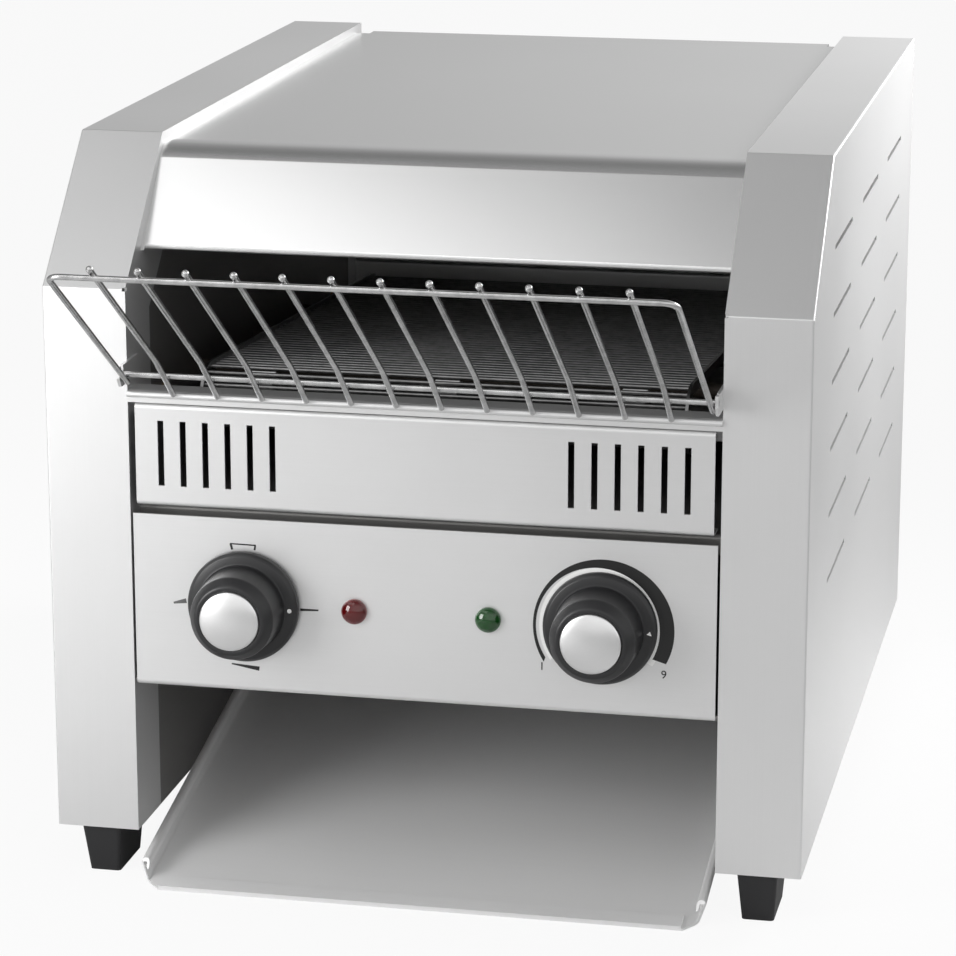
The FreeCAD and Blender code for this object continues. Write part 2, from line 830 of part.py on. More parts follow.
def upper_reflector():
    """Bent sheet over the upper tubes."""
    height = upper_tube_z + upper_tube_radius + reflector_gap
    first = upper_tube_first_y - reflector_reach
    last = upper_tube_first_y + (upper_tube_count - 1) * upper_tube_pitch + reflector_reach
    path = [(first - reflector_lean, height - reflector_drop), (first, height), (last, height),
            (last + reflector_lean, height - reflector_drop)]
    return across(strip_face(path, sheet, [bend_radius] * 2), -inner_half, inner_half)


def lower_reflector():
    """Sheet inside the belt's loop with a trough under each lower tube."""
    path = []
    for place in reversed(range(lower_tube_count)):
        centre = lower_tube_first + place * lower_tube_pitch
        path.append(belt_place(centre + lower_tube_pitch / 2, -trough_crest))
        path.append(belt_place(centre, -trough_depth))
    path[0] = belt_place(lower_tube_first + (lower_tube_count - 1) * lower_tube_pitch + trough_reach,
                         -trough_crest)
    path.append(belt_place(lower_tube_first - trough_reach, -trough_crest))
    radii = [bend_radius] * (len(path) - 2)
    return across(strip_face(path, sheet, radii), -inner_half, inner_half)


# Feed rack and its hooks
def rod_points(x):
    """Tip, knee and toe of a rack rod at one X."""
    return [Vector(x, rod_tip_y, rod_tip_z), Vector(x, rod_knee_y, rod_knee_z),
            Vector(x, rod_toe_y, rod_toe_z)]


def is_rod_end(edge):
    """True for the round edge at the tip or toe of a rod."""
    centre = edge.BoundBox.Center
    at_tip = abs(centre.y - rod_tip_y) < wire_radius
    at_toe = abs(centre.y - rod_toe_y) < wire_radius
    return at_tip or at_toe


def rack_rods():
    """Twelve bent rods side by side."""
    rods = []
    for place in range(rod_count):
        x = (place - (rod_count - 1) / 2) * rod_pitch
        rod = wire_along(rod_points(x), [rod_knee_radius], wire_radius)
        ends = [e for e in rod.Edges if len(e.Vertexes) == 1 and is_rod_end(e)]
        rods.append(rod.makeChamfer(rod_tip_chamfer, ends))
    return Part.makeCompound(rods)


def top_wire_place():
    """(Y, Z) of the rack's top wire, on the underside of the rods."""
    tip, knee, toe = rod_points(0)
    heading = (knee - tip).normalize()
    down = Vector(0, heading.z, -heading.y)
    centre = tip + heading * rod_past_wire + down * (2 * wire_radius)
    return centre.y, centre.z


def pivot_z():
    """Height of the cross wire that the rack turns on, on the upper side of the rods."""
    tip, knee, toe = rod_points(0)
    heading = (toe - knee).normalize()
    touch_y = pivot_y + heading.z * 2 * wire_radius
    touch_z = knee.z + (touch_y - knee.y) * heading.z / heading.y
    return touch_z + heading.y * 2 * wire_radius


def rack_frame():
    """Wire round three sides of the rack, whose legs pass under the cross wire."""
    top_y, top_z = top_wire_place()
    span_y = pivot_y - top_y
    span_z = pivot_z() - top_z
    distance = math.hypot(span_y, span_z)
    angle = math.atan2(span_z, span_y) - math.asin(2 * wire_radius / distance)
    length = math.sqrt(distance ** 2 - 4 * wire_radius ** 2) + rack_leg_end
    end_y = top_y + length * math.cos(angle)
    end_z = top_z + length * math.sin(angle)
    points = [Vector(-rack_half_width, end_y, end_z), Vector(-rack_half_width, top_y, top_z),
              Vector(rack_half_width, top_y, top_z), Vector(rack_half_width, end_y, end_z)]
    return wire_along(points, [rack_corner_radius] * 2, wire_radius)


def rack_cross_wire():
    """Straight wire that lies in the two hooks."""
    half = inner_half - hook_end_gap
    return rod_x(wire_radius, -half, half, pivot_y, pivot_z())


def left_rack_hook():
    """Plate on the housing's inner wall with an open notch for the cross wire."""
    low = pivot_z() - hook_drop
    high = pivot_z() + hook_rise
    front = pivot_y - hook_front
    notch = wire_radius + hook_clearance
    plate = across(outline_face([(hook_back, low), (hook_back, high), (front, high),
                                 (front, pivot_z() - notch), (pivot_y - notch, low)]),
                   -inner_half, -inner_half + hook_thickness)
    seat = rod_x(notch, -inner_half - overshoot, -inner_half + 2 * hook_thickness, pivot_y, pivot_z())
    mouth = block(-inner_half - overshoot, -inner_half + 2 * hook_thickness, pivot_y - notch,
                  pivot_y + notch, pivot_z(), high + overshoot)
    return plate.cut([seat, mouth])


# Controls and lamps on the panel
def knob(x):
    """Knob with a bevelled skirt, a slightly tapered grip and a seat for its cap."""
    back = -knob_gap
    skirt = back - skirt_depth
    shoulder = skirt - grip_depth + nose_depth
    nose = shoulder - nose_depth
    bore = spindle_radius
    bore_end = back - spindle_in_knob
    outline = [
        (bore, back), (skirt_radius, back), (skirt_radius, skirt + skirt_bevel),
        (skirt_radius - skirt_bevel, skirt), (grip_radius, skirt), (grip_front_radius, shoulder),
        (nose_radius, nose), (cap_radius, nose), (cap_radius, nose + cap_edge), (0, nose + cap_edge),
        (0, bore_end), (bore, bore_end),
    ]
    return turned(outline, x, knob_z)


def knob_cap(x):
    """Domed metal cap seated in the front of a knob."""
    seat = -knob_gap - skirt_depth - grip_depth + cap_edge
    return domed(cap_radius, seat, seat - 2 * cap_edge, seat - 2 * cap_edge - cap_dome, x, knob_z)


def spindle(x):
    """Spindle from the control behind the panel into the knob."""
    front = -knob_gap - spindle_in_knob
    return rod_y(spindle_radius, front, front + spindle_length, x, knob_z)


def with_bush(body, x):
    """A control's body with its bush through the panel and its bore for the spindle."""
    bush = rod_y(control_bush_radius, 0, sheet, x, knob_z)
    end = -knob_gap - spindle_in_knob + spindle_length + control_gap
    bore = rod_y(spindle_radius + running_clearance, -sheet, end, x, knob_z)
    return fused(body, [bush]).cut(bore)


def selector_switch():
    """Rotary switch behind the left knob."""
    half = switch_size / 2
    body = block(-knob_x - half, -knob_x + half, sheet, sheet + switch_depth,
                 knob_z - half, knob_z + half)
    return with_bush(body, -knob_x)


def speed_control():
    """Round control behind the right knob."""
    body = rod_y(speed_control_radius, sheet, sheet + speed_control_depth, knob_x, knob_z)
    return with_bush(body, knob_x)


def lamp_lens(x):
    """Domed lens with a narrow rim, on the face of the panel."""
    return domed(lamp_radius, 0, -lamp_rim, -lamp_rim - lamp_dome, x, lamp_z)


def lamp_holders():
    """Body of each lamp through the panel, with its nut behind it."""
    holders = []
    for x in (-lamp_x, lamp_x):
        body = rod_y(lamp_body_radius, 0, lamp_body_depth, x, lamp_z)
        nut = rod_y(lamp_nut_radius, sheet, sheet + lamp_nut_depth, x, lamp_z)
        holders.append(fused(body, [nut]))
    return Part.makeCompound(holders)


# Fan, terminals, gland and feet
def fan_z():
    """The fan stands halfway between the compartment's floor and roof."""
    return (panel_bottom + 2 * sheet + panel_top) / 2


def fan_frame():
    """Square frame with four struts, the hub plate and the pin that the rotor runs on."""
    half = fan_size / 2
    wall = -inner_half
    z = fan_z()
    frame = block(wall, wall + fan_depth, fan_y - half, fan_y + half, z - half, z + half)
    frame = frame.makeFillet(2 * fan_hole_radius, [e for e in frame.Edges if e.BoundBox.XLength > near])
    holes = [rod_x(fan_bore_radius, wall - overshoot, wall + fan_depth + overshoot, fan_y, z)]
    place = half - 2 * fan_hole_radius
    for side_y in (-place, place):
        for side_z in (-place, place):
            holes.append(rod_x(fan_hole_radius, wall - overshoot, wall + fan_depth + overshoot,
                               fan_y + side_y, z + side_z))
    pin_length = fan_hub_plate + fan_hub_gap + fan_hub_length / 2
    carriers = [
        rod_x(fan_hub_radius, wall, wall + fan_hub_plate, fan_y, z),
        rod_x(fan_pin_radius, wall, wall + pin_length, fan_y, z),
        block(wall, wall + fan_hub_plate, fan_y - half, fan_y + half,
              z - fan_strut_width / 2, z + fan_strut_width / 2),
        block(wall, wall + fan_hub_plate, fan_y - fan_strut_width / 2, fan_y + fan_strut_width / 2,
              z - half, z + half),
    ]
    return fused(frame.cut(holes), carriers)


def fan_rotor():
    """Hub on its pin with twisted blades."""
    start = -inner_half + fan_hub_plate + fan_hub_gap
    z = fan_z()
    hub = rod_x(fan_hub_radius, start, start + fan_hub_length, fan_y, z)
    bore = rod_x(fan_pin_radius + running_clearance, start - overshoot,
                 start + fan_hub_length / 2 + fan_hub_gap, fan_y, z)
    tip = fan_bore_radius - fan_tip_gap
    middle = start + fan_hub_length / 2
    blades = []
    for place in range(fan_blades):
        sections = []
        for radius, angle in ((fan_hub_radius - overshoot, fan_root_angle), (tip, fan_tip_angle)):
            half = fan_hub_length / 2 - fan_hub_gap
            lean = half * math.tan(math.radians(angle)) / 2
            edge = fan_blade_thickness / 2
            corners = [Vector(middle - half, -lean - edge, radius),
                       Vector(middle - half, -lean + edge, radius),
                       Vector(middle + half, lean + edge, radius),
                       Vector(middle + half, lean - edge, radius)]
            sections.append(Part.makePolygon(corners + corners[:1]))
        blade = Part.makeLoft(sections, True, True)
        blade.rotate(Vector(0, 0, 0), Vector(1, 0, 0), 360 * place / fan_blades)
        blade.translate(Vector(0, fan_y, z))
        blades.append(blade)
    return fused(hub, blades).cut(bore)


def terminal_block():
    """Row of terminals on the floor of the compartment."""
    floor = panel_bottom + 2 * sheet
    half = terminal_length / 2
    front = deck_floor_depth - 2 * terminal_depth
    body = block(-half, half, front, front + terminal_depth, floor, floor + terminal_height)
    pitch = terminal_length / terminal_ways
    cuts = []
    for way in range(terminal_ways):
        x = -half + (way + 0.5) * pitch
        cuts.append(Part.makeCylinder(pitch / 4, terminal_height / 2,
                                      Vector(x, front + terminal_depth / 2,
                                             floor + terminal_height / 2), Vector(0, 0, 1)))
    return body.cut(cuts)


def hexagon(radius, y_from, y_to, x, z):
    """Six-sided prism along Y."""
    corners = []
    for corner in range(6):
        angle = math.pi * corner / 3
        corners.append((x + radius * math.cos(angle), z + radius * math.sin(angle)))
    return lengthwise(outline_face(corners), y_from, y_to)


def cord_gland():
    """Gland in the back panel that the supply cord would pass through."""
    inside = body_depth - sheet - gland_nut
    neck = rod_y(gland_neck, inside, body_depth, gland_x, gland_z)
    nut = hexagon(gland_hex, inside, body_depth - sheet, gland_x, gland_z)
    flange = hexagon(gland_hex, body_depth, body_depth + gland_flange, gland_x, gland_z)
    body = rod_y(gland_radius, body_depth, body_depth + gland_length, gland_x, gland_z)
    rim = [e for e in body.Edges if e.BoundBox.YMin > body_depth + gland_length - near]
    body = body.makeFillet(gland_nut / 2, rim)
    bore = rod_y(gland_bore, inside - overshoot, gland_back + overshoot, gland_x, gland_z)
    return fused(neck, [nut, flange, body]).cut(bore)


def front_right_foot():
    """Tapered rubber foot with rounded corners."""
    low_y = foot_front_y + foot_front_taper
    foot = Part.makeWedge(
        foot_x - foot_bottom_width / 2, 0, -low_y - foot_bottom_length,
        -foot_front_y - foot_top_length, foot_x - foot_top_width / 2,
        foot_x + foot_bottom_width / 2, foot_height, -low_y,
        -foot_front_y, foot_x + foot_top_width / 2)
    foot.rotate(Vector(0, 0, 0), Vector(1, 0, 0), 90)
    return foot.makeFillet(foot_corner, [e for e in foot.Edges if e.BoundBox.ZLength > near])


def at_the_back(shape):
    """The same piece at the other end of the body."""
    return shape.mirror(Vector(0, body_depth / 2, 0), Vector(0, 1, 0))


def place(shape):
    """Move the origin to the middle of the footprint."""
    moved = shape.copy()
    moved.translate(Vector(0, -origin_y, 0))
    return moved


parts = {
    "left_housing": left_housing(),
    "right_housing": mirrored(left_housing()),
    "left_inner_plate": left_fan_plate(),
    "right_inner_plate": mirrored(left_inner_plate()),
    "left_base_rail": left_base_rail(),
    "right_base_rail": mirrored(left_base_rail()),
    "top_cover": top_cover(),
    "back_panel": back_panel(),
    "front_cross_bar": front_cross_bar(),
    "vent_panel": vent_panel(),
    "control_panel": control_panel(),
    "lower_deck": lower_deck(),
    "upper_deck": upper_deck(),
    "return_chute": return_chute(),
    "tray_support": tray_support(),
    "toast_tray": toast_tray(),
    "belt_wires": belt_wires(),
    "belt_side_links": belt_side_links(),
    "drive_shaft": drive_shaft(),
    "drive_wheels": belt_wheels(0),
    "idler_shaft": idler_shaft(),
    "idler_wheels": belt_wheels(belt_run),
    "shaft_bushes": shaft_bushes(),
    "gear_motor": gear_motor(),
    "motor_can": motor_can(),
    "upper_heating_tubes": heating_tubes(upper_tube_radius, upper_tube_places()),
    "lower_heating_tubes": heating_tubes(lower_tube_radius, lower_tube_places()),
    "heater_ends": heater_ends(),
    "upper_reflector": upper_reflector(),
    "lower_reflector": lower_reflector(),
    "rack_rods": rack_rods(),
    "rack_frame": rack_frame(),
    "rack_cross_wire": rack_cross_wire(),
    "left_rack_hook": left_rack_hook(),
    "right_rack_hook": mirrored(left_rack_hook()),
    "selector_knob": knob(-knob_x),
    "selector_cap": knob_cap(-knob_x),
    "selector_spindle": spindle(-knob_x),
    "selector_switch": selector_switch(),
    "speed_knob": knob(knob_x),
    "speed_cap": knob_cap(knob_x),
    "speed_spindle": spindle(knob_x),
    "speed_control": speed_control(),
    "left_lamp_lens": lamp_lens(-lamp_x),
    "right_lamp_lens": lamp_lens(lamp_x),
    "lamp_holders": lamp_holders(),
    "fan_frame": fan_frame(),
    "fan_rotor": fan_rotor(),
    "terminal_block": terminal_block(),
    "cord_gland": cord_gland(),
    "front_right_foot": front_right_foot(),
    "front_left_foot": mirrored(front_right_foot()),
    "rear_right_foot": at_the_back(front_right_foot()),
    "rear_left_foot": mirrored(at_the_back(front_right_foot())),
}

os.makedirs("parts", exist_ok=True)
for name, shape in parts.items():
    place(shape).exportStep("parts/" + name + ".step")
    print(name, len(shape.Solids), round(shape.Volume, 1), shape.isValid())
print("origin_y", origin_y, "pivot_z", pivot_z())
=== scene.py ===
import math
import bpy
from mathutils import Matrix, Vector


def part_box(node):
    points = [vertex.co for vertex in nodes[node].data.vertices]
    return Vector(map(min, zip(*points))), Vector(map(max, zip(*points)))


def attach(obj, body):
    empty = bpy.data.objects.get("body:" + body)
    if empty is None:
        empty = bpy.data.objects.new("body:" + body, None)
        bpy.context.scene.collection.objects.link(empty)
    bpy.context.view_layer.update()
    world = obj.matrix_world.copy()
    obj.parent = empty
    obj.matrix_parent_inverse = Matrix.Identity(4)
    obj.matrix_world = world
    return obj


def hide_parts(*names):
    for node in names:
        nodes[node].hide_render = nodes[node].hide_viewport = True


# Conveyor toaster. Lengths are millimetres at the toaster's own zero: X from the middle,
# Y from the front face of the side housings to the back, Z from the counter top.

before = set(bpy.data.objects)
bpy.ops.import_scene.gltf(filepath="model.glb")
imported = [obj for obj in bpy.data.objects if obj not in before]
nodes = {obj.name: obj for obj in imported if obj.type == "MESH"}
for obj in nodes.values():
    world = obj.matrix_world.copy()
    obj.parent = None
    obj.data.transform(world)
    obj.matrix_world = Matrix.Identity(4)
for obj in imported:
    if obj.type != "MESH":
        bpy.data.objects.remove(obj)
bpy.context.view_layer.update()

MM = 0.001
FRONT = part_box("left_housing")[0].y


def at(x, y, z):
    """A point of the toaster in metres."""
    return Vector((x * MM, FRONT + y * MM, z * MM))


# ---- Camera, floor and light ----

CAMERA_PLACE = (365.0, -1599.4, 644.8)
CAMERA_PITCH = 14.79
CAMERA_YAW = 11.91
FOCAL_PIXELS = 3605.0
PICTURE_PIXELS = 956.0
SENSOR = 36.0

camera_data = bpy.data.cameras.new("front_camera")
camera_data.sensor_width = SENSOR
camera_data.lens = FOCAL_PIXELS * SENSOR / PICTURE_PIXELS
camera = bpy.data.objects.new("front_camera", camera_data)
camera.location = at(*CAMERA_PLACE)
camera.rotation_euler = (math.radians(90 - CAMERA_PITCH), 0, math.radians(CAMERA_YAW))
bpy.context.scene.collection.objects.link(camera)
bpy.context.scene.camera = camera
bpy.context.scene.view_settings.view_transform = "Standard"


class Value:
    """The output of a shader node. Sums with it add the Math nodes that work them out."""

    def __init__(self, finish, socket):
        self.finish = finish
        self.socket = socket

    def maths(self, operation, first, second=0.0):
        return self.finish.node("ShaderNodeMath", {"operation": operation}, [first, second])

    def __add__(self, other):
        return self.maths("ADD", self, other)

    __radd__ = __add__

    def __sub__(self, other):
        return self.maths("SUBTRACT", self, other)

    def __rsub__(self, other):
        return self.maths("SUBTRACT", other, self)

    def __mul__(self, other):
        return self.maths("MULTIPLY", self, other)


class Finish:
    """The node tree of one material or of the world, and the method that adds a node to it."""

    def __init__(self, owner):
        self.owner = owner
        owner.use_nodes = True
        self.tree = owner.node_tree
        self.shader = self.tree.nodes.get("Principled BSDF")

    def node(self, kind, settings=None, inputs=None, output=0):
        new = self.tree.nodes.new(kind)
        for name, value in (settings or {}).items():
            setattr(new, name, value)
        pairs = inputs.items() if isinstance(inputs, dict) else enumerate(inputs or [])
        for key, value in pairs:
            if isinstance(value, Value):
                self.tree.links.new(value.socket, new.inputs[key])
            else:
                new.inputs[key].default_value = value
        return Value(self, new.outputs[output])

    def set(self, **sockets):
        """Gives the main shader numbers and links. An underscore stands for a space."""
        for name, value in sockets.items():
            socket = self.shader.inputs[name.replace("_", " ")]
            if isinstance(value, Value):
                self.tree.links.new(value.socket, socket)
            else:
                socket.default_value = value

    def place(self, scale):
        """Object coordinates in metres, scaled along each axis."""
        where = self.node("ShaderNodeTexCoord", output="Object")
        return self.node("ShaderNodeVectorMath", {"operation": "MULTIPLY"}, [where, scale])

    def part(self, vector, axis):
        return self.node("ShaderNodeSeparateXYZ", None, [vector], output=axis)

    def noise(self, scale, detail=2.0, rough=0.5):
        """Noise from 0 to 1 with a number of waves per metre along each axis."""
        return self.node(
            "ShaderNodeTexNoise",
            None,
            {"Vector": self.place(scale), "Scale": 1.0, "Detail": detail, "Roughness": rough},
        )

    def blend(self, factor, first, second):
        colours = [c if isinstance(c, Value) or len(c) == 4 else (*c, 1.0) for c in (first, second)]
        sockets = {0: factor, 6: colours[0], 7: colours[1]}
        return self.node("ShaderNodeMix", {"data_type": "RGBA"}, sockets, output=2)

    def stretch(self, value, low, high):
        """The value, brought from the range low to high to 0 to 1 and kept there."""
        return self.node("ShaderNodeMapRange", {"clamp": True}, [value, low, high, 0.0, 1.0])

    def bump(self, height, strength=0.3, depth=0.0002):
        return self.node(
            "ShaderNodeBump", None, {"Strength": strength, "Distance": depth, "Height": height}
        )


def new_finish(name):
    return Finish(bpy.data.materials.new(name))


def grey(level, warmth=0.0):
    return (level * (1 + warmth), level, level * (1 - warmth))


floor_finish = new_finish("pale_floor")
path = floor_finish.tree.nodes.new("ShaderNodeLightPath")
seen = Value(floor_finish, path.outputs["Is Camera Ray"])
mirrored = Value(floor_finish, path.outputs["Is Glossy Ray"])
through = Value(floor_finish, path.outputs["Is Transmission Ray"])
FLOOR_TONE = 0.58
FLOOR_SEEN_WHITE = 0.92
FLOOR_MIRRORED_WHITE = 0.03
lit_floor = floor_finish.node(
    "ShaderNodeBsdfDiffuse", None, {"Color": floor_finish.blend(
        floor_finish.noise((3, 3, 3)), grey(FLOOR_TONE), grey(FLOOR_TONE + 0.02))}
)
WHITE = (1, 1, 1, 1)
white_floor = floor_finish.node("ShaderNodeEmission", None, {"Color": WHITE, "Strength": 1.0})
floor_white = seen * FLOOR_SEEN_WHITE + (mirrored + through) * FLOOR_MIRRORED_WHITE
floor_mix = floor_finish.node("ShaderNodeMixShader", None, [floor_white, lit_floor, white_floor])
floor_out = floor_finish.tree.nodes["Material Output"]
floor_finish.tree.links.new(floor_mix.socket, floor_out.inputs["Surface"])

bpy.ops.object.select_all(action="DESELECT")
bpy.ops.mesh.primitive_plane_add(size=14.0, location=(0, 0, 0))
floor = bpy.context.object
floor.name = "floor"
floor.data.materials.append(floor_finish.owner)

world = bpy.data.worlds.new("studio")
bpy.context.scene.world = world
sky = Finish(world)
sky.tree.nodes.clear()
direction = sky.node("ShaderNodeTexCoord", output="Generated")
rightward = sky.part(direction, 0)
backward = sky.part(direction, 1)
upward = sky.part(direction, 2)

# The room is darker to the left and overhead, and lightest low in front of the toaster.
rear_level = sky.stretch(rightward, -0.5, 0.15) * 0.50 + 0.28
front_level = sky.stretch(backward * -1.0, -0.2, 0.6) * 0.38
overhead_shade = 1.0 - sky.stretch(upward, 0.55, 0.95) * 0.72
room_colour = sky.blend((rear_level + front_level) * overhead_shade, (0, 0, 0), (1, 1, 1))
room = sky.node("ShaderNodeBackground", None, {"Color": room_colour, "Strength": 1.0})
white = sky.node("ShaderNodeBackground", None, {"Color": WHITE, "Strength": 1.0})
sky_path = Value(sky, sky.tree.nodes.new("ShaderNodeLightPath").outputs["Is Camera Ray"])
sky_mix = sky.node("ShaderNodeMixShader", None, [sky_path, room, white])
sky_out = sky.tree.nodes.new("ShaderNodeOutputWorld")
sky.tree.links.new(sky_mix.socket, sky_out.inputs["Surface"])


def soft_light(name, place, aim, size, power, spread=180):
    """A soft box. Place and aim are in millimetres, its size in metres, its power in watts."""
    data = bpy.data.lights.new(name, "AREA")
    data.shape = "RECTANGLE"
    data.size, data.size_y = size
    data.energy = power
    data.spread = math.radians(spread)
    lamp = bpy.data.objects.new(name, data)
    lamp.location = at(*place)
    lamp.rotation_euler = (at(*aim) - at(*place)).to_track_quat("-Z", "Y").to_euler()
    bpy.context.scene.collection.objects.link(lamp)


soft_light("front_left_softbox", (-720, -640, 420), (-60, 40, 190), (0.45, 0.55), 6.4)
soft_light("overhead_softbox", (-770, -720, 1700), (-250, 150, 150), (1.4, 0.7), 4.0)
soft_light("rear_right_softbox", (660, 640, 640), (184, 400, 350), (0.40, 0.40), 2.4, 80)

# ---- Finishes ----


def brushed_steel(name, level, rough, grain, streaks=0.5, warmth=0.0, cloud=0.03, metal=1.0):
    """Rolled sheet with a fine grain. The grain's waves per metre are given along each axis."""
    finish = new_finish(name)
    fine = finish.noise(grain, detail=3.0, rough=0.6)
    soft = finish.noise((9, 9, 9), detail=2.0)
    tone = finish.blend(
        fine * 0.5 + soft * 0.5, grey(level - cloud, warmth), grey(level + cloud, warmth)
    )
    finish.set(
        Base_Color=tone,
        Metallic=metal,
        Roughness=rough + (fine - 0.5) * 0.10 * streaks + (soft - 0.5) * 0.06,
        Normal=finish.bump(fine, 0.12 * streaks, 0.00004),
    )
    return finish


ALONG_X = (6, 1500, 1500)
ALONG_Y = (1500, 6, 1500)
ALONG_Z = (1500, 1500, 6)
EVEN = (900, 900, 900)

panel_steel = brushed_steel("panel_steel", 0.76, 0.40, ALONG_X, 0.5, metal=0.82)
housing_steel = brushed_steel("housing_steel", 0.76, 0.42, ALONG_Z, 0.4, metal=0.82)
cover_steel = brushed_steel("cover_steel", 0.80, 0.24, ALONG_X, 0.15, metal=0.92)
inner_steel = brushed_steel("inner_steel", 0.30, 0.46, ALONG_Y, 0.6, 0.02, 0.05, 0.9)
chute_steel = brushed_steel("chute_steel", 0.50, 0.42, ALONG_X, 0.6, metal=0.85)
tray_steel = brushed_steel("tray_steel", 0.86, 0.50, ALONG_X, 0.5, metal=0.40)
cap_steel = brushed_steel("cap_steel", 0.80, 0.30, EVEN, 0.4, metal=0.9)


def drawn_wire(name, level, rough):
    """Bright drawn wire with slightly uneven plating."""
    finish = new_finish(name)
    patches = finish.noise((160, 160, 160), detail=4.0, rough=0.65)
    tone = finish.blend(finish.stretch(patches, 0.35, 0.65), grey(level * 0.72), grey(level))
    finish.set(Base_Color=tone, Metallic=1.0, Roughness=rough + patches * 0.12,
               Normal=finish.bump(patches, 0.10, 0.0001))
    return finish


rack_wire = drawn_wire("rack_wire", 0.66, 0.18)
belt_wire = drawn_wire("belt_wire", 0.28, 0.30)
shaft_steel = drawn_wire("shaft_steel", 0.42, 0.26)
bronze = new_finish("bronze")
bronze_tone = bronze.noise((220, 220, 220), 4.0)
bronze.set(Base_Color=bronze.blend(bronze_tone, (0.35, 0.19, 0.07), (0.62, 0.38, 0.16)),
           Metallic=1.0, Roughness=0.28 + bronze_tone * 0.2)


def paint(name, colour, rough, grain=700, coat=0.0, depth=0.00005):
    """Paint or moulded plastic with a fine even texture."""
    finish = new_finish(name)
    fine = finish.noise((grain, grain, grain), detail=2.0)
    soft = finish.noise((30, 30, 30), detail=3.0)
    lighter = tuple(min(1.0, c * 1.25 + 0.004) for c in colour)
    finish.set(
        Base_Color=finish.blend(soft * 0.7 + fine * 0.3, colour, lighter),
        Roughness=rough + (soft - 0.5) * 0.12,
        Coat_Weight=coat,
        Normal=finish.bump(fine, 0.25, depth),
    )
    return finish


motor_paint = paint("motor_paint", (0.035, 0.038, 0.042), 0.42, 900)
black_plastic = paint("black_plastic", (0.012, 0.012, 0.013), 0.36, 1600)
dark_plastic = paint("dark_plastic", (0.018, 0.018, 0.02), 0.5, 1200)
rubber = paint("rubber", (0.010, 0.010, 0.011), 0.62, 2200, 0.0, 0.0001)
ceramic = paint("ceramic", (0.72, 0.69, 0.62), 0.22, 260, 0.4)
tube_oxide = new_finish("tube_oxide")
scale_marks = tube_oxide.noise((90, 260, 260), 5.0, 0.7)
tube_oxide.set(
    Base_Color=tube_oxide.blend(scale_marks, (0.035, 0.028, 0.024), (0.16, 0.135, 0.115)),
    Metallic=0.5, Roughness=0.45 + scale_marks * 0.25,
    Normal=tube_oxide.bump(scale_marks, 0.3, 0.0002))

node_finish = {
    "left_housing": housing_steel, "right_housing": housing_steel,
    "left_inner_plate": inner_steel, "right_inner_plate": inner_steel,
    "left_base_rail": inner_steel, "right_base_rail": inner_steel,
    "top_cover": cover_steel, "back_panel": panel_steel, "front_cross_bar": panel_steel,
    "vent_panel": panel_steel, "control_panel": panel_steel,
    "lower_deck": inner_steel, "upper_deck": inner_steel, "return_chute": chute_steel,
    "tray_support": inner_steel, "toast_tray": tray_steel,
    "belt_wires": belt_wire, "belt_side_links": belt_wire,
    "drive_shaft": shaft_steel, "drive_wheels": shaft_steel,
    "idler_shaft": shaft_steel, "idler_wheels": shaft_steel, "shaft_bushes": bronze,
    "gear_motor": motor_paint, "motor_can": motor_paint,
    "upper_heating_tubes": tube_oxide, "lower_heating_tubes": tube_oxide, "heater_ends": ceramic,
    "upper_reflector": inner_steel, "lower_reflector": inner_steel,
    "rack_rods": rack_wire, "rack_frame": rack_wire, "rack_cross_wire": rack_wire,
    "left_rack_hook": panel_steel, "right_rack_hook": panel_steel,
    "selector_knob": black_plastic, "speed_knob": black_plastic,
    "selector_cap": cap_steel, "speed_cap": cap_steel,
    "selector_spindle": shaft_steel, "speed_spindle": shaft_steel,
    "selector_switch": dark_plastic, "speed_control": dark_plastic,
    "left_lamp_lens": black_plastic, "right_lamp_lens": black_plastic,
    "lamp_holders": dark_plastic, "fan_frame": dark_plastic, "fan_rotor": dark_plastic,
    "terminal_block": ceramic, "cord_gland": dark_plastic,
    "front_right_foot": rubber, "front_left_foot": rubber,
    "rear_right_foot": rubber, "rear_left_foot": rubber,
}
for name, finish in node_finish.items():
    mesh = nodes[name].data
    mesh.materials.clear()
    mesh.materials.append(finish.owner)

# ---- Pieces ----


def deselect():
    bpy.ops.object.select_all(action="DESELECT")


def settle(piece, finish, body, angle=35.0, replaced=()):
    """Puts a piece's place into its mesh, gives it its finish and lets it ride on its body."""
    deselect()
    piece.select_set(True)
    bpy.context.view_layer.objects.active = piece
    bpy.ops.object.transform_apply(location=True, rotation=True, scale=True)
    bpy.ops.object.shade_smooth_by_angle(angle=math.radians(angle))
    piece.data.materials.clear()
    piece.data.materials.append(finish.owner)
    if replaced:
        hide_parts(*replaced)
    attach(piece, body)
    return piece


def edit(piece, mode="FACE"):
    bpy.context.view_layer.objects.active = piece
    bpy.ops.object.mode_set(mode="EDIT")
    bpy.ops.mesh.select_mode(type=mode)


def done():
    bpy.ops.object.mode_set(mode="OBJECT")


